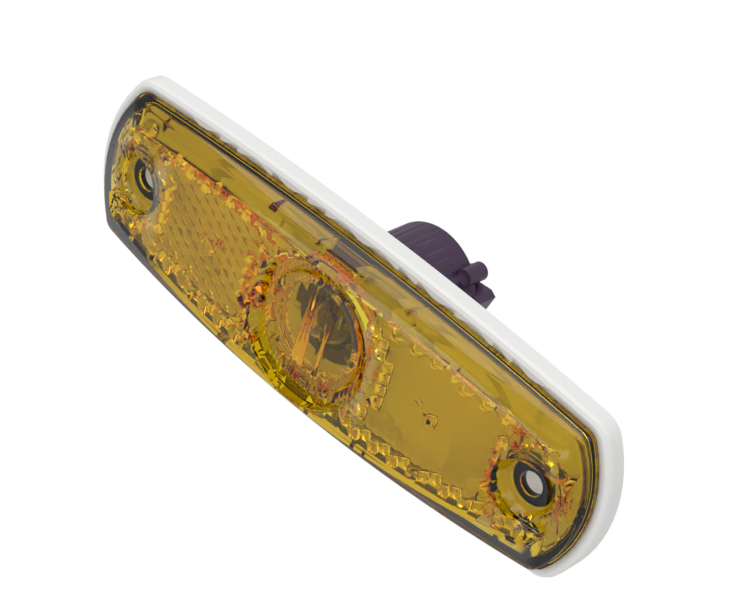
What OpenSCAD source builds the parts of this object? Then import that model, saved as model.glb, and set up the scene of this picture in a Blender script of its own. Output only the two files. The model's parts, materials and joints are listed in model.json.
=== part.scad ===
// Side marker lamp: amber reflex lens on a white moulded base, with a twist-in bulb holder behind.
// The part is drawn face up in placed(), which then turns the front towards -Y.
// The origin is the middle of the base's rear mounting face, +X runs along the lamp and +Z is up.

/* [Lens] */
// Length of the lens over its foot flange
lens_l = 120; // [112:1:130]
// Height of the lens over its foot flange, at mid length
lens_h = 35.4; // [33:0.2:39]
// How far each long side bows outwards from the middle to the ends
side_bow = 2.65; // [1.5:0.05:4]
// How far each end bulges outwards
end_bulge = 6.9; // [5:0.1:9]
// Radius of the lens corners
corner_r = 3; // [2:0.1:5]
// Height of the lens face above the base, at mid length
face_h = 6.05; // [5:0.05:8]
// How far the face falls away from mid length to the ends
face_drop = 4; // [2:0.1:4.4]
// Thickness of the lens wall and face
lens_wall = 2; // [1.5:0.1:2.4]
// Draft of the outer wall, from foot to face
wall_draft = 0.15; // [0.05:0.05:0.6]
// Bevel along the edges of the face and the raised panels
edge_bevel = 0.35; // [0.2:0.05:0.6]
// Width of the thin flange round the lens foot
flange_w = 0.6; // [0.3:0.1:1]
// Thickness of the thin flange
flange_t = 0.7; // [0.4:0.1:1]
// Depth of the lens skirt inside the base
skirt_d = 1.5; // [1:0.1:1.8]

/* [Raised reflex panels] */
// Height of the raised panels over the face, at mid length
panel_rise = 2.4; // [1.8:0.1:3]
// How much further than the face the panels fall away towards the ends
panel_extra_drop = 0.8; // [0.2:0.1:1.2]
// Height of the raised panels across the lamp, at mid length
panel_h = 29.4; // [27:0.2:30]
// How far each long edge of the panels bows in towards the ends
panel_bow = 5.1; // [4:0.1:6]
// Distance from mid length to the outer end of the panels
panel_end = 55.5; // [53:0.5:56.5]
// Bulge of the outer end of the panels
panel_bulge = 5.6; // [3:0.1:8]
// Radius of the panels' outer corners
panel_corner_r = 3; // [2:0.1:4]
// Plastic left between the panel face and the prism pocket
panel_skin = 1.1; // [0.9:0.05:1.5]
// Width of the flat border round the prism pocket
panel_border = 0.7; // [0.5:0.05:1.2]

/* [Prisms] */
// Distance across the flats of one hexagonal prism
prism_pitch = 2.55; // [2:0.05:3.5]
// Thickness of solid plastic in front of the prisms' shallowest corners
prism_root = 0.25; // [0.2:0.05:0.5]
// Shift of the prism rows along the lamp
prism_shift_x = 0; // [-2:0.1:2]
// Shift of the prism rows across the lamp
prism_shift_y = 0; // [-1.5:0.1:1.5]

/* [Round window] */
// Outer radius of the window's thick ring
window_r = 11.5; // [10.5:0.1:12]
// Width of the thick ring
window_ring = 2.2; // [1.5:0.1:2.8]
// Height of the ring over the face
window_rise = 0.72; // [0.4:0.02:1.2]
// Clear radius between the window and the raised panels
window_clear_r = 14.2; // [13:0.1:15]
// How far the window's collar reaches back behind the face
collar_d = 4.6; // [3:0.1:5]
// Thickness of the window pane
pane_t = 1.7; // [1.4:0.1:2.2]
// How far the pane's edge lies below the top of the ring
pane_sunk = 0.4; // [0.2:0.05:0.6]
// How far the pane rises from its edge to its middle
pane_crown = 0.15; // [0.05:0.05:0.3]
// Distance between the fine rings behind the pane
ring_pitch = 1.05; // [0.8:0.05:1.4]
// Depth of the fine rings
ring_d = 0.45; // [0.2:0.05:0.6]

/* [Screw points] */
// Distance between the two mounting screws
screw_span = 96.6; // [92:0.2:99]
// Diameter of the screw holes
screw_hole_d = 4.8; // [4:0.1:5.4]
// Radius of the sunk screw seat at the face
seat_r = 6; // [5.4:0.1:6.4]
// Radius of the sunk screw seat at its floor
seat_floor_r = 4.6; // [4.2:0.1:5]
// Height of the seat's floor above the base
seat_floor_h = 1.7; // [1.2:0.1:2.2]
// Radius of the posts under the screw seats
post_r = 4.8; // [4.2:0.1:5.4]

/* [Base] */
// Thickness of the base from the mounting face to the rim
base_t = 4.3; // [4:0.1:6]
// Width of the white rim round the lens
rim_w = 2.15; // [1.6:0.05:3]
// Radius of the rim's front edge
rim_edge_r = 1; // [0.5:0.1:1.4]
// Bevel round the mounting face
back_bevel = 0.3; // [0.2:0.05:0.6]
// Thickness of the base floor
floor_t = 1.6; // [1.4:0.1:1.8]
// Thickness of the rib inside the skirt groove
groove_rib = 1.1; // [0.8:0.1:1.6]
// How far that rib stops short of the rim's level
groove_rib_gap = 0.6; // [0.4:0.1:1]
// Depth of the collar behind the base
socket_d = 7; // [5:0.5:9]
// Wall of the collar behind the base
socket_wall = 2.2; // [1.6:0.1:3]

/* [Bulb holder] */
// Radius of the holder's barrel
barrel_r = 11.1; // [10.5:0.1:12]
// Distance from the mounting face to the holder's rear end
holder_reach = 22.5; // [21:0.5:26]
// Radius of the neck inside the collar
neck_r = 9.9; // [9.5:0.1:10.2]
// Radius of the nose that goes through the floor
nose_r = 8.3; // [8:0.1:8.6]
// How far the nose stands in front of the floor
nose_h = 2.3; // [1.8:0.1:2.6]
// Turn that locks the holder, in degrees
lock_turn = 45; // [30:5:60]
// How far the locking lugs stand out from the nose
lug_reach = 1.6; // [1.2:0.1:1.8]
// Width of the locking lugs
lug_w = 4; // [3:0.2:5]
// Thickness of the locking lugs
lug_h = 1.3; // [1:0.1:1.6]
// Width of the ribs that stop the lugs
stop_w = 1.4; // [1:0.1:2]
// Gap between the collar behind the base and the barrel
barrel_gap = 0.6; // [0.4:0.1:1.2]
// Bevel round the barrel's rear edge
barrel_bevel = 0.8; // [0.4:0.1:1.2]
// Bevel round the nose's front edge
nose_bevel = 0.5; // [0.3:0.1:0.7]
// Thickness of the rubber ring round the nose
holder_seal_t = 1.65; // [1.2:0.05:2]
// Radius over the rounded grip ears
round_ear_r = 14; // [13:0.1:15.5]
// Width of the rounded grip ears
round_ear_w = 3.6; // [2.6:0.2:4.4]
// Direction of the rounded grip ears from the lamp's length, in degrees
round_ear_at = 41; // [38:1:60]
// Radius over the slanted grip ears
slant_ear_r = 15; // [13.5:0.1:16]
// Half the width of the slanted grip ears at the barrel
slant_ear_w = 3.4; // [2.6:0.2:3.8]
// Direction of the slanted grip ears from the lamp's length, in degrees
slant_ear_at = 18; // [5:1:20]
// Length of the grip ears
ear_l = 5; // [3:0.5:8]

/* [Bulb and contacts] */
// Diameter of the glass bulb
bulb_d = 9.6; // [8:0.1:10]
// Length of the glass bulb with its flat foot
bulb_l = 26; // [24:0.5:27]
// Gap between the level of the lens face and the bulb's tip
bulb_gap = 3.2; // [3:0.1:4]
// Gap between the bulb and the holder's bore
bore_gap = 0.5; // [0.4:0.1:0.9]
// Thickness of the glass
glass_t = 0.6; // [0.5:0.05:0.8]
// Width of the flat foot of the bulb
foot_w = 8.4; // [7:0.1:9]
// Thickness of the flat foot
foot_t = 2.1; // [1.8:0.1:2.6]
// Length of the flat foot
foot_l = 6.5; // [5.5:0.5:7]
// Thickness of the contact strips
strip_t = 0.6; // [0.4:0.05:0.8]
// Width of the contact strips and their rear blades
strip_w = 4.8; // [4.4:0.1:5.6]
// Distance from the axis to each rear blade
blade_x = 3.6; // [3.3:0.1:3.9]
// How far the blades stand out behind the holder
blade_reach = 5; // [4:0.5:8]
// Height of the filament in front of the mounting face
filament_z = 1.5; // [0:0.1:3]
// Distance from the axis to each lead wire
lead_y = 2.4; // [1.8:0.1:3]
// Radius of the lead wires
wire_r = 0.25; // [0.2:0.05:0.35]
// Length of the lead wires folded up the foot
fold_l = 4; // [3:0.5:5]
// Radius of the filament's coil
filament_r = 0.3; // [0.2:0.05:0.5]
// Distance from the filament back to the glass bead
bead_drop = 8.5; // [7:0.5:10]
// Radius of the glass bead
bead_r = 1; // [0.7:0.1:1.3]
// How far the bead reaches past each lead wire
bead_over = 0.7; // [0.5:0.1:0.9]

/* [Hidden] */
$fn = 96;
// Clearance between pieces that fit into one another
fit = 0.3;
// Clearance between pieces that are pushed together and don't turn
slip = 0.05;
// Small overlap that makes a cut or a joint clean
eps = 0.05;
// Facets of the large arc that domes the face
dome_fn = 720;

half_l = lens_l / 2;
half_h = lens_h / 2;
screw_x = screw_span / 2;
face_z = base_t + face_h;
panel_z = face_z + panel_rise;
ring_z = face_z + window_rise;
skirt_z = base_t - skirt_d;
seat_z = base_t + seat_floor_h;
body_inset = flange_w;
cavity_inset = flange_w + lens_wall;
floor_bore_r = nose_r + fit;
socket_r = neck_r + fit;
lug_r = nose_r + lug_reach;
nose_z = floor_t + nose_h;
shoulder_z = -holder_seal_t - slip;
barrel_z = -socket_d - barrel_gap;

bulb_r = bulb_d / 2;
bulb_top = face_z - bulb_gap;
bulb_low = bulb_top - bulb_l;
glass_z0 = bulb_low + foot_l;
glass_z1 = bulb_top - bulb_r;
bead_z = filament_z - bead_drop;
wire_bore_r = wire_r + slip;
fold_x = foot_t / 2 + wire_r + slip;
grip_x = fold_x + wire_r + slip;
well_z = bulb_low - 3 * wire_r - 2 * slip - strip_t;
blade_out = blade_x + strip_t / 2;

// Outlines built from a long side arc, a corner arc and an end arc
function arc_radius(half, rise) = (half * half + rise * rise) / (2 * rise);
function turn_point(r, a) = [r * cos(a), r * sin(a)];
function arc(c, r, a0, a1, n) = [for (i = [0 : n]) c + turn_point(r, a0 + (a1 - a0) * i / n)];
function angle_to(v) = atan2(v[1], v[0]);
function circles_meet(p, rp, q, rq) =
    let (v = q - p, d = norm(v), a = (rp * rp - rq * rq + d * d) / (2 * d), h = sqrt(rp * rp - a * a))
    p + v * (a / d) + [v[1], -v[0]] * (h / d);
function quarter(l, h, bow, bulge, r, inset) =
    let (side_r = arc_radius(l, bow), end_r = arc_radius(h, bulge),
        side_c = [0, h - side_r], end_c = [l - end_r, 0],
        corner_c = circles_meet(side_c, side_r - r, end_c, end_r - r),
        a_side = angle_to(corner_c - side_c), a_end = angle_to(corner_c - end_c))
    concat(
        arc(side_c, side_r - inset, 90, a_side, 12),
        arc(corner_c, r - inset, a_side - (a_side - a_end) / 5, a_end, 4),
        arc(end_c, end_r - inset, a_end - a_end / 7, 0, 6));
function flip_x(p) = [for (i = [len(p) - 1 : -1 : 0]) [-p[i][0], p[i][1]]];
function flip_y(p) = [for (i = [len(p) - 1 : -1 : 0]) [p[i][0], -p[i][1]]];
function tail(p) = [for (i = [1 : len(p) - 1]) p[i]];
function whole(q) =
    let (right = concat(q, tail(flip_y(q))))
    concat(right, tail([for (i = [0 : len(right) - 2]) flip_x(right)[i]]));
function lens_points(inset) =
    whole(quarter(half_l, half_h, side_bow, end_bulge, corner_r, min(inset, corner_r - 0.2)));
function inner_points(inset) =
    whole(quarter(half_l - inset, half_h - inset, side_bow, end_bulge, corner_r - 1, 0));
function panel_points(inset) =
    whole(quarter(panel_end, panel_h / 2, panel_bow, panel_bulge, panel_corner_r, inset));

// The frame that the parts are drawn in: face up, then turned to face -Y
module placed() {
    rotate([90, 0, 0]) children();
}

// Everything below a cylinder-shaped dome that runs across the lamp
module under_dome(level, drop) {
    r = arc_radius(half_l, drop);
    translate([0, 0, level - r]) rotate([90, 0, 0])
        cylinder(r = r, h = 2 * half_h, center = true, $fn = dome_fn);
}

module prism_of(points, z0, z1) {
    translate([0, 0, z0]) linear_extrude(height = z1 - z0) polygon(points);
}

// A bevelled block under a dome: the hull of a full block and a narrower, higher one
module domed_block(outer, inner, z0, level, drop) {
    hull() {
        intersection() {
            prism_of(outer, z0, level);
            under_dome(level - edge_bevel, drop);
        }
        intersection() {
            prism_of(inner, z0, level);
            under_dome(level, drop);
        }
    }
}

// Corner-cube prisms
cell_r = prism_pitch / sqrt(3);
column_step = 1.5 * cell_r;
panel_drop = face_drop + panel_extra_drop;
function dome_fall(x, drop) = drop * x * x / (half_l * half_l);
pocket_x0 = window_clear_r;
pocket_x1 = panel_end - panel_border;
pocket_z0 = panel_z - dome_fall(pocket_x0, panel_drop) - panel_skin;
pocket_z1 = panel_z - dome_fall(pocket_x1, panel_drop) - panel_skin;
pocket_tilt = atan2(pocket_z0 - pocket_z1, pocket_x1 - pocket_x0);
columns = ceil(panel_end / column_step);
rows = ceil(panel_h / 2 / prism_pitch) + 1;

function odd(i) = i % 2 == 0 ? 0 : 1;
function cell_at(i, j) =
    [i * column_step + prism_shift_x, (j + odd(i) / 2) * prism_pitch + prism_shift_y];
function side_limit(x) = panel_h / 2 - panel_bow * x * x / (half_l * half_l) - panel_border;
function end_limit(y) = panel_end - panel_bulge * pow(2 * y / panel_h, 2) - panel_border;
function point_fits(p) =
    abs(p[1]) < side_limit(p[0]) && p[0] < end_limit(p[1])
    && norm(p) > window_clear_r + panel_border / 2
    && norm(p - [screw_x, 0]) > seat_r + panel_border
    && (p[0] < screw_x || abs(p[1]) > seat_r + panel_border / 2) && p[0] > 0.2;
function cell_corner(c, k) = c + turn_point(cell_r, 60 * k);
function cell_fits(i, j) =
    i >= 0 && i <= columns && len([for (k = [0 : 5]) if (!point_fits(cell_corner(cell_at(i, j), k))) 1]) == 0;
function beside(i, j, k) =
    k == 0 ? [i + 1, j + odd(i)] :
    k == 1 ? [i, j + 1] :
    k == 2 ? [i - 1, j + odd(i)] :
    k == 3 ? [i - 1, j - 1 + odd(i)] :
    k == 4 ? [i, j - 1] : [i + 1, j - 1 + odd(i)];
cells = [for (i = [0 : columns]) for (j = [-rows : rows]) if (cell_fits(i, j)) [i, j]];
function corner_depth(k) = prism_root + (k % 2 == 0 ? 0 : cell_r / sqrt(2));
function lifted(p, z) = [p[0], p[1], z];
function cell_points(c) = concat(
    [for (k = [0 : 5]) lifted(cell_corner(c, k), -corner_depth(k))],
    [for (k = [0 : 5]) lifted(cell_corner(c, k), eps)],
    [lifted(c, -prism_root - cell_r * sqrt(2))]);
function moved(face, n) = [for (v = face) v + 13 * n];
function cell_faces(n, i, j) = concat(
    [for (k = [1, 3, 5]) moved([12, k, (k + 1) % 6, (k + 2) % 6], n)],
    [moved([11, 10, 9, 8, 7, 6], n)],
    [for (k = [0 : 5]) let (b = beside(i, j, k)) if (!cell_fits(b[0], b[1]))
        moved([k, k + 6, (k + 1) % 6 + 6, (k + 1) % 6], n)]);

// One half's field of prisms, drawn flat with the solid side up
module prism_field() {
    polyhedron(
        points = [for (c = cells) each cell_points(cell_at(c[0], c[1]))],
        faces = [for (n = [0 : len(cells) - 1]) each cell_faces(n, cells[n][0], cells[n][1])],
        convexity = 10);
}

// Puts a flat drawing onto the tilted floor of the right-hand pocket
module on_pocket() {
    translate([pocket_x0, 0, pocket_z0]) rotate([0, pocket_tilt, 0]) translate([-pocket_x0, 0, 0]) children();
}

module both_sides() {
    children();
    mirror([1, 0, 0]) children();
}

module panel_cuts() {
    cylinder(r = window_clear_r, h = panel_z + 1);
    both_sides() {
        translate([screw_x, 0, 0]) cylinder(r = seat_r, h = panel_z + 1);
        translate([screw_x, -seat_r, 0]) cube([half_l, 2 * seat_r, panel_z + 1]);
    }
}

// The raised panels, cut back round the window and the screw seats
module raised_panels() {
    difference() {
        domed_block(panel_points(0), panel_points(edge_bevel), base_t + face_h - face_drop - lens_wall,
            panel_z, panel_drop);
        panel_cuts();
    }
}

// The pocket behind the right-hand panel, up to its tilted floor
module pocket() {
    intersection() {
        prism_of(panel_points(panel_border), 0, panel_z);
        on_pocket() translate([0, -half_h, -face_z]) cube([half_l, lens_h, face_z]);
    }
}

module pocket_keep() {
    cylinder(r = window_clear_r + panel_border / 2, h = panel_z);
    translate([screw_x, 0, 0]) cylinder(r = seat_r + panel_border, h = panel_z);
    translate([screw_x, -seat_r - panel_border / 2, 0])
        cube([half_l, 2 * seat_r + panel_border, panel_z]);
}

// The screw seat: a sunk cup and the post it stands on
module seat_cup() {
    top = face_z - dome_fall(screw_x, face_drop);
    cylinder(r = post_r, h = seat_z - eps);
    rotate_extrude() polygon([[0, seat_z - lens_wall], [seat_floor_r + lens_wall / 2, seat_z - lens_wall],
        [seat_r + lens_wall / 2, top - lens_wall / 2], [seat_r + lens_wall / 2, top - lens_wall / 4],
        [0, top - lens_wall / 4]]);
}

module seat_hollow() {
    top = face_z - dome_fall(screw_x, face_drop);
    rotate_extrude() polygon([[0, seat_z], [seat_floor_r, seat_z], [seat_r, top],
        [seat_r, panel_z], [0, panel_z]]);
}

// The round window: thick ring, collar and a pane with fine rings behind it
pane_r = window_r - window_ring;
pane_front = ring_z - pane_sunk;
pane_back = pane_front - pane_t;
button_r = ring_pitch / 2;
ring_count = floor((pane_r - ring_pitch) / ring_pitch);
function ring_profile() = [for (i = [0 : ring_count - 1])
    each [[button_r + i * ring_pitch, pane_back - ring_d],
        [button_r + (i + 1) * ring_pitch - eps, pane_back]]];

module window() {
    rotate_extrude() polygon(concat(
        [[0, pane_back - ring_d], [button_r - eps, pane_back - ring_d / 2]],
        ring_profile(),
        [[pane_r, pane_back], [pane_r, face_z - collar_d], [window_r, face_z - collar_d],
        [window_r, ring_z - edge_bevel], [window_r - edge_bevel, ring_z], [pane_r + edge_bevel, ring_z],
        [pane_r, pane_front], [0, pane_front + pane_crown]]));
}

module lens() {
    color([0.95, 0.62, 0.02]) placed() difference() {
        union() {
            difference() {
                union() {
                    domed_block(lens_points(body_inset), lens_points(body_inset + wall_draft + edge_bevel),
                        skirt_z, face_z, face_drop);
                    prism_of(lens_points(0), base_t, base_t + flange_t);
                    raised_panels();
                }
                intersection() {
                    prism_of(inner_points(cavity_inset), skirt_z - 1, face_z);
                    under_dome(face_z - lens_wall, face_drop);
                }
                both_sides() difference() {
                    pocket();
                    pocket_keep();
                }
            }
            both_sides() on_pocket() prism_field();
            both_sides() translate([screw_x, 0, 0]) seat_cup();
            window();
        }
        both_sides() translate([screw_x, 0, 0]) {
            seat_hollow();
            cylinder(d = screw_hole_d, h = panel_z);
            translate([0, 0, -1]) cylinder(r = post_r + 1, h = base_t + 1);
        }
    }
}

// The white base's outer block, with a rounded front edge
module base_block() {
    hull() {
        prism_of(lens_points(-rim_w + back_bevel), 0, back_bevel);
        prism_of(lens_points(-rim_w), back_bevel, base_t - rim_edge_r);
        prism_of(lens_points(-rim_w + rim_edge_r * (1 - cos(45))), base_t - rim_edge_r,
            base_t - rim_edge_r * (1 - sin(45)));
        prism_of(lens_points(-rim_w + rim_edge_r), base_t - rim_edge_r, base_t);
    }
}

// Slots in the floor that the locking lugs go in through
module lug_slots() {
    width = lug_w + 2 * fit;
    for (a = [0, 180]) rotate([0, 0, a - lock_turn]) translate([0, -width / 2, -1])
        cube([lug_r + fit, width, floor_t + 2]);
}

// Ribs on the floor that stop the locking lugs at the end of their turn
module turn_stops() {
    for (a = [0, 180]) rotate([0, 0, a]) translate([floor_bore_r, lug_w / 2 + fit, floor_t - eps])
        cube([lug_r - floor_bore_r + fit, stop_w, lug_h]);
}

module base() {
    color([0.96, 0.96, 0.94]) placed() difference() {
        union() {
            difference() {
                base_block();
                prism_of(lens_points(flange_w - fit), floor_t, base_t + 1);
            }
            difference() {
                prism_of(inner_points(cavity_inset + fit), floor_t - eps, base_t - groove_rib_gap);
                prism_of(inner_points(cavity_inset + fit + groove_rib), floor_t, base_t);
            }
            both_sides() translate([screw_x, 0, 0]) cylinder(r = post_r, h = base_t);
            translate([0, 0, -socket_d]) cylinder(r = socket_r + socket_wall, h = socket_d + floor_t);
            turn_stops();
        }
        translate([0, 0, -socket_d - 1]) cylinder(r = socket_r, h = socket_d + 1);
        translate([0, 0, -1]) cylinder(r = floor_bore_r, h = base_t + 2);
        lug_slots();
        both_sides() translate([screw_x, 0, -1]) cylinder(d = screw_hole_d, h = base_t + 2);
    }
}

// The rubber ring under the lens skirt
module lens_seal() {
    color([0.2, 0.2, 0.2]) placed() difference() {
        prism_of(lens_points(flange_w + 0.1), floor_t, skirt_z);
        prism_of(inner_points(cavity_inset - 0.1), floor_t - 1, skirt_z + 1);
    }
}

// A rounded ear and a slanted ear, twice round the barrel
module grip_ears() {
    root_r = barrel_r - slant_ear_w;
    round_c = round_ear_r - round_ear_w / 2;
    translate([0, 0, -holder_reach]) linear_extrude(height = ear_l)
        for (a = [0, 180]) rotate(a) {
            rotate(round_ear_at) {
                translate([round_c, 0]) circle(d = round_ear_w);
                translate([root_r, -0.45 * round_ear_w]) square([round_c - root_r, 0.9 * round_ear_w]);
            }
            rotate(slant_ear_at) polygon([[root_r, -slant_ear_w], [slant_ear_r - 2, -0.7 * slant_ear_w],
                [slant_ear_r, 0.2 * slant_ear_w], [slant_ear_r - 1, 0.55 * slant_ear_w],
                [root_r, slant_ear_w]]);
        }
}

// The barrel, the neck inside the collar and the nose, turned in one profile
module holder_body() {
    rotate_extrude() polygon([[0, -holder_reach], [barrel_r - barrel_bevel, -holder_reach],
        [barrel_r, -holder_reach + barrel_bevel], [barrel_r, barrel_z], [neck_r, barrel_z],
        [neck_r, shoulder_z], [nose_r, shoulder_z], [nose_r, nose_z - nose_bevel],
        [nose_r - nose_bevel, nose_z], [0, nose_z]]);
}

// Two lugs that lock in front of the base floor
module lugs() {
    intersection() {
        translate([-lug_r, -lug_w / 2, floor_t + fit / 2]) cube([2 * lug_r, lug_w, lug_h]);
        cylinder(r = lug_r, h = nose_z);
    }
}

// The twist-in bulb holder, bored for the bulb, its foot and the two contacts
module bulb_holder() {
    color([0.17, 0.11, 0.19]) placed() difference() {
        union() {
            holder_body();
            lugs();
            grip_ears();
        }
        translate([0, 0, glass_z0 - fit]) cylinder(r = bulb_r + bore_gap, h = nose_z - glass_z0 + 1);
        translate([-grip_x, -foot_w / 2 - fit, well_z])
            cube([2 * grip_x, foot_w + 2 * fit, glass_z0 - well_z]);
        translate([-blade_out - slip, -strip_w / 2 - slip, well_z])
            cube([2 * (blade_out + slip), strip_w + 2 * slip, glass_z0 - well_z]);
        both_sides() translate([blade_x - strip_t / 2 - slip, -strip_w / 2 - slip, -holder_reach - 1])
            cube([strip_t + 2 * slip, strip_w + 2 * slip, holder_reach + well_z + 1 + eps]);
    }
}

// The rubber ring between the holder's shoulder and the base floor
module holder_seal() {
    color([0.1, 0.1, 0.1]) placed() difference() {
        translate([0, 0, shoulder_z]) cylinder(r = neck_r - slip, h = holder_seal_t);
        translate([0, 0, shoulder_z - 1]) cylinder(r = nose_r + slip, h = holder_seal_t + 2);
    }
}

// A solid of the blown bulb's outline, shrunk by t: a dome on a straight body
module bulb_solid(t) {
    rotate_extrude() intersection() {
        union() {
            translate([0, glass_z1]) circle(r = bulb_r - t);
            translate([-bulb_r + t, glass_z0 + t]) square([2 * (bulb_r - t), glass_z1 - glass_z0 - t]);
        }
        translate([0, glass_z0]) square([bulb_d, bulb_l]);
    }
}

// The wedge-foot bulb: a blown glass with a pinched flat foot
module bulb_glass() {
    color([0.9, 0.95, 0.95, 0.5]) placed() difference() {
        union() {
            bulb_solid(0);
            translate([-foot_t / 2, -foot_w / 2, bulb_low]) cube([foot_t, foot_w, foot_l + eps]);
        }
        bulb_solid(glass_t);
        for (s = [-1, 1]) translate([0, s * lead_y, bulb_low - 1])
            cylinder(r = wire_bore_r, h = foot_l + 2 * glass_t + 1);
    }
}

// The filament, drawn as the envelope of its coil
module bulb_filament() {
    color([0.5, 0.5, 0.52]) placed() translate([0, 0, filament_z]) rotate([90, 0, 0])
        cylinder(r = filament_r, h = 2 * (lead_y - wire_r), center = true);
}

// The glass bead that holds the two lead wires apart
module bulb_bead() {
    color([0.85, 0.9, 0.9]) placed() translate([0, 0, bead_z]) difference() {
        rotate([90, 0, 0]) cylinder(r = bead_r, h = 2 * (lead_y + bead_over), center = true);
        for (s = [-1, 1]) translate([0, s * lead_y, 0])
            cylinder(r = wire_bore_r, h = 3 * bead_r, center = true);
    }
}

// A lead wire: down from the filament, out through the foot and folded up its side
module lead(side) {
    low = bulb_low - wire_r - slip;
    color([0.7, 0.7, 0.72]) placed() translate([0, side * lead_y, low]) mirror([side > 0 ? 0 : 1, 0, 0]) {
        cylinder(r = wire_r, h = filament_z + wire_r - low);
        rotate([0, 90, 0]) cylinder(r = wire_r, h = fold_x);
        translate([fold_x, 0, 0]) cylinder(r = wire_r, h = fold_l);
        for (x = [0, fold_x]) translate([x, 0, 0]) sphere(r = wire_r);
    }
}

module lead_left() lead(-1);
module lead_right() lead(1);

// A contact: a spring strip beside the bulb's foot, a step outwards and a blade out of the rear
module contact(side) {
    color([0.85, 0.7, 0.35]) placed() mirror([side > 0 ? 0 : 1, 0, 0]) translate([0, -strip_w / 2, 0]) {
        translate([grip_x, 0, well_z]) cube([strip_t, strip_w, foot_l - strip_t]);
        translate([grip_x, 0, well_z]) cube([blade_out - grip_x, strip_w, strip_t]);
        translate([blade_x - strip_t / 2, 0, -holder_reach - blade_reach])
            cube([strip_t, strip_w, well_z + holder_reach + blade_reach + strip_t]);
    }
}

module contact_left() contact(-1);
module contact_right() contact(1);

base();
lens();
lens_seal();
bulb_holder();
holder_seal();
contact_left();
contact_right();
bulb_glass();
bulb_filament();
bulb_bead();
lead_left();
lead_right();
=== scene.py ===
# %% [markdown]
# # A side marker lamp in amber acrylic
# The lamp is a thin amber moulding on a white base, with a dark bulb holder behind it. Its look comes
# almost wholly from light that goes through the moulding: some is turned straight back by the prisms,
# and some reaches the white base and comes out again. So most of this lesson is about clear plastic
# that is a true solid, and about where the light comes from.

# %% Load the lamp
import json
import math

import bpy
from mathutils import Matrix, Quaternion, Vector


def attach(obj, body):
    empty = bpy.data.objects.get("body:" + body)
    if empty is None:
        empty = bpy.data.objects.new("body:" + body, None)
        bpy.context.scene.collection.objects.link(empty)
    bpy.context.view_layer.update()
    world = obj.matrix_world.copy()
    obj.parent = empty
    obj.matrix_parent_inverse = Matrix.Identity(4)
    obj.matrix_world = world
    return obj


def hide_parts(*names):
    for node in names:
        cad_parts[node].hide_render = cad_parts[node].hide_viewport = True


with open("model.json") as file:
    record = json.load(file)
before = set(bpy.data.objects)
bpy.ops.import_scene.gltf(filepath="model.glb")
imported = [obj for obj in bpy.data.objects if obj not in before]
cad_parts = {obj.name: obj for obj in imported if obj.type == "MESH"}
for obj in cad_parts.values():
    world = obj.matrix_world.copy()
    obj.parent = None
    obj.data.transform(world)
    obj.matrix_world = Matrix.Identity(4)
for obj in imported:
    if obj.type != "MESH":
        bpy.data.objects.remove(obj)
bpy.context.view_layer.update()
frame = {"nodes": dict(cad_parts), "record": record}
MM = 0.001
print("pieces:", sorted(frame["nodes"]))

# %% [markdown]
# ## The camera
# A lamp of 120 mm seen from 0.4 m away shows some perspective, so the camera stands where the
# photographer stood. It looks at a point near the window and is rolled, because the lamp lies
# slanted across the picture. The lens is long, and no shift is needed.

# %% Place the camera
EYE = Vector((180.6, -283.9, 239.5)) * MM
TARGET = Vector((8.2, -10.0, 12.8)) * MM
ROLL = math.radians(18.1)
FOCAL_MM = 113.3

camera_data = bpy.data.cameras.new("camera")
camera = bpy.data.objects.new("camera", camera_data)
bpy.context.scene.collection.objects.link(camera)
camera_data.lens = FOCAL_MM
camera_data.sensor_width = 36
camera_data.clip_start = 0.01
towards = (TARGET - EYE).normalized()
camera.location = EYE
camera.rotation_mode = "QUATERNION"
camera.rotation_quaternion = Quaternion(towards, -ROLL) @ towards.to_track_quat("-Z", "Y")
bpy.context.scene.camera = camera
print("camera distance in mm:", round((TARGET - EYE).length / MM))

# %% [markdown]
# ## Light and floor
# Prisms like these send light back to where it came from, so what they show is the space round the
# camera. A large soft panel stands there. A second one hangs over the lamp and lights the top of the
# white rim, and a grey world fills the rest. The floor and the world look white to the camera only,
# so the backdrop is bright without lighting the lamp any harder.

# %% Soft light
def panel_light(name, place, aim, size, radiance):
    """A square soft panel; radiance is what a mirror would show of it, where 1 is white."""
    data = bpy.data.lights.new(name, "AREA")
    data.shape = "SQUARE"
    data.size = size
    data.energy = radiance * math.pi * size * size
    panel = bpy.data.objects.new(name, data)
    bpy.context.scene.collection.objects.link(panel)
    panel.location = place
    panel.rotation_euler = (Vector(aim) - Vector(place)).to_track_quat("-Z", "Y").to_euler()
    return panel


panel_light("camera_side_panel", EYE * 1.5, TARGET, 0.34, 1.25)
panel_light("overhead_panel", Vector((-0.12, -0.16, 0.50)), TARGET, 0.42, 1.6)

WORLD_GREY = 0.62
world = bpy.data.worlds.new("studio")
bpy.context.scene.world = world
world.use_nodes = True
nodes, links = world.node_tree.nodes, world.node_tree.links
nodes.clear()
out = nodes.new("ShaderNodeOutputWorld")
grey = nodes.new("ShaderNodeBackground")
grey.inputs["Color"].default_value = (WORLD_GREY, WORLD_GREY, WORLD_GREY, 1)
white = nodes.new("ShaderNodeBackground")
rays = nodes.new("ShaderNodeLightPath")
mix = nodes.new("ShaderNodeMixShader")
links.new(rays.outputs["Is Camera Ray"], mix.inputs["Fac"])
links.new(grey.outputs[0], mix.inputs[1])
links.new(white.outputs[0], mix.inputs[2])
links.new(mix.outputs[0], out.inputs["Surface"])

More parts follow.
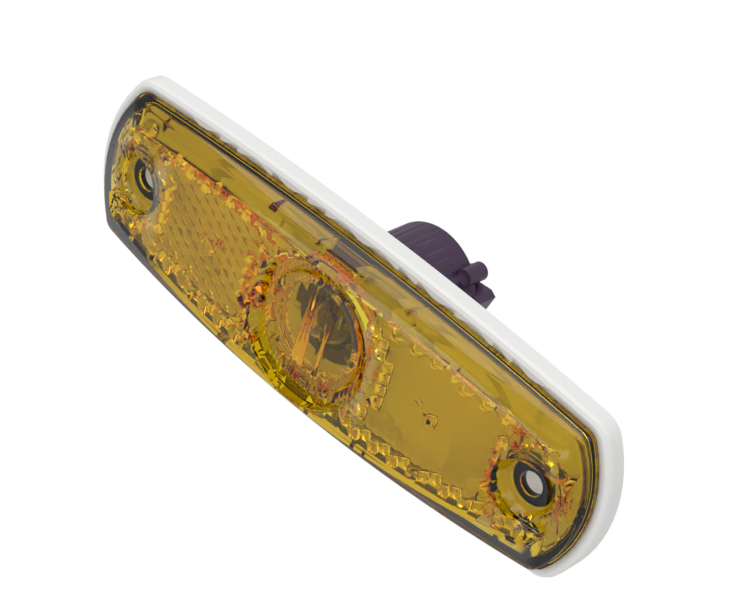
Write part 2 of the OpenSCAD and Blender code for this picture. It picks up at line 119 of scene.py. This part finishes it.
# %% Floor
FLOOR_DROP = 0.16
bpy.ops.object.select_all(action="DESELECT")
bpy.ops.mesh.primitive_plane_add(size=6, location=(0, 0, -FLOOR_DROP))
floor = bpy.context.object
floor.name = "floor"
floor_paint = bpy.data.materials.new("floor_paint")
floor_paint.use_nodes = True
nodes, links = floor_paint.node_tree.nodes, floor_paint.node_tree.links
nodes.clear()
out = nodes.new("ShaderNodeOutputMaterial")
matt = nodes.new("ShaderNodeBsdfDiffuse")
matt.inputs["Color"].default_value = (0.82, 0.82, 0.82, 1)
glow = nodes.new("ShaderNodeEmission")
rays = nodes.new("ShaderNodeLightPath")
mix = nodes.new("ShaderNodeMixShader")
links.new(rays.outputs["Is Camera Ray"], mix.inputs["Fac"])
links.new(matt.outputs[0], mix.inputs[1])
links.new(glow.outputs[0], mix.inputs[2])
links.new(mix.outputs[0], out.inputs["Surface"])
floor.data.materials.append(floor_paint)

# %% [markdown]
# ## Finishes
# Each finish is a Principled shader. Clear amber plastic needs two things: a tint on the surface,
# and absorption in the volume, which turns thick places and long ways along a wall deep orange.

# %% Finish helpers
def plastic(name, colour, roughness, grain_mm=0.0, grain_depth=0.0):
    """An opaque moulded plastic with a fine surface grain."""
    finish = bpy.data.materials.new(name)
    finish.use_nodes = True
    tree = finish.node_tree
    shader = tree.nodes["Principled BSDF"]
    shader.inputs["Base Color"].default_value = (*colour, 1)
    shader.inputs["Roughness"].default_value = roughness
    shader.inputs["IOR"].default_value = 1.49
    if grain_depth:
        place = tree.nodes.new("ShaderNodeTexCoord")
        noise = tree.nodes.new("ShaderNodeTexNoise")
        noise.inputs["Scale"].default_value = 1 / (grain_mm * MM)
        noise.inputs["Detail"].default_value = 4
        bump = tree.nodes.new("ShaderNodeBump")
        bump.inputs["Distance"].default_value = grain_depth * MM
        bump.inputs["Strength"].default_value = 0.5
        tree.links.new(place.outputs["Object"], noise.inputs["Vector"])
        tree.links.new(noise.outputs["Fac"], bump.inputs["Height"])
        tree.links.new(bump.outputs["Normal"], shader.inputs["Normal"])
    return finish


def clear(name, tint, ior, roughness, absorb=None, per_mm=0.0):
    """A clear solid; absorb is the colour that survives, per_mm how fast the rest is lost."""
    finish = bpy.data.materials.new(name)
    finish.use_nodes = True
    tree = finish.node_tree
    shader = tree.nodes["Principled BSDF"]
    shader.inputs["Base Color"].default_value = (*tint, 1)
    shader.inputs["Roughness"].default_value = roughness
    shader.inputs["IOR"].default_value = ior
    shader.inputs["Transmission Weight"].default_value = 1
    if absorb:
        volume = tree.nodes.new("ShaderNodeVolumeAbsorption")
        volume.inputs["Color"].default_value = (*absorb, 1)
        volume.inputs["Density"].default_value = per_mm / MM
        tree.links.new(volume.outputs[0], tree.nodes["Material Output"].inputs["Volume"])
    return finish


amber = clear("amber_acrylic", (1.0, 0.88, 0.05), 1.49, 0.01, (0.99, 0.90, 0.2), 0.45)
white_plastic = plastic("white_plastic", (0.90, 0.90, 0.885), 0.32, 0.5, 0.01)
holder_plastic = plastic("holder_plastic", (0.055, 0.025, 0.065), 0.38, 0.4, 0.03)
rubber = plastic("seal_rubber", (0.03, 0.03, 0.03), 0.7, 0.3, 0.02)
bulb_glass = clear("bulb_glass", (1, 1, 1), 1.5, 0.0)
brass = plastic("contact_brass", (0.78, 0.58, 0.25), 0.3)
brass.node_tree.nodes["Principled BSDF"].inputs["Metallic"].default_value = 1
wire = plastic("wire_metal", (0.6, 0.6, 0.62), 0.35)
wire.node_tree.nodes["Principled BSDF"].inputs["Metallic"].default_value = 1

FINISH_OF_SLOT = {
    "lens_plastic": amber,
    "base_plastic": white_plastic,
    "holder_plastic": holder_plastic,
    "seal_rubber": rubber,
    "contact_brass": brass,
    "bulb_glass": bulb_glass,
    "wire_metal": wire,
}

# %% Put the finishes on the pieces
for entry in frame["record"]["subparts"]:
    node = frame["nodes"][entry["node"]]
    node.data.materials.clear()
    node.data.materials.append(FINISH_OF_SLOT[entry["material_slot"]])

# %% [markdown]
# ## The amber moulding
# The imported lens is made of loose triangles, so its domed face would catch the light in flats. A copy
# with its triangles joined can be shaded smooth, with every edge sharper than 20 degrees kept.

# %% Smooth lens
SMOOTH_UNDER = math.radians(20)


def smooth_copy(node_name, body):
    source = frame["nodes"][node_name]
    piece = source.copy()
    piece.data = source.data.copy()
    piece.name = node_name + "_smooth"
    piece.parent = None
    for key in list(piece.keys()):
        del piece[key]
    bpy.context.scene.collection.objects.link(piece)
    bpy.ops.object.select_all(action="DESELECT")
    piece.select_set(True)
    bpy.context.view_layer.objects.active = piece
    bpy.ops.object.mode_set(mode="EDIT")
    bpy.ops.mesh.select_all(action="SELECT")
    bpy.ops.mesh.remove_doubles(threshold=0.001 * MM)
    bpy.ops.object.mode_set(mode="OBJECT")
    bpy.ops.object.shade_smooth_by_angle(angle=SMOOTH_UNDER)
    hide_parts(node_name)
    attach(piece, body)
    return piece


lens = smooth_copy("lens", "lamp")
base = smooth_copy("base", "lamp")
holder = smooth_copy("bulb_holder", "holder")
print("lens triangles:", len(lens.data.polygons))

# %% Light paths
# Light turns three times inside a prism, so more turns are allowed than Blender's default.
cycles = bpy.context.scene.cycles
cycles.max_bounces = 24
cycles.glossy_bounces = 16
cycles.transmission_bounces = 24
bpy.context.scene.view_settings.view_transform = "Standard"
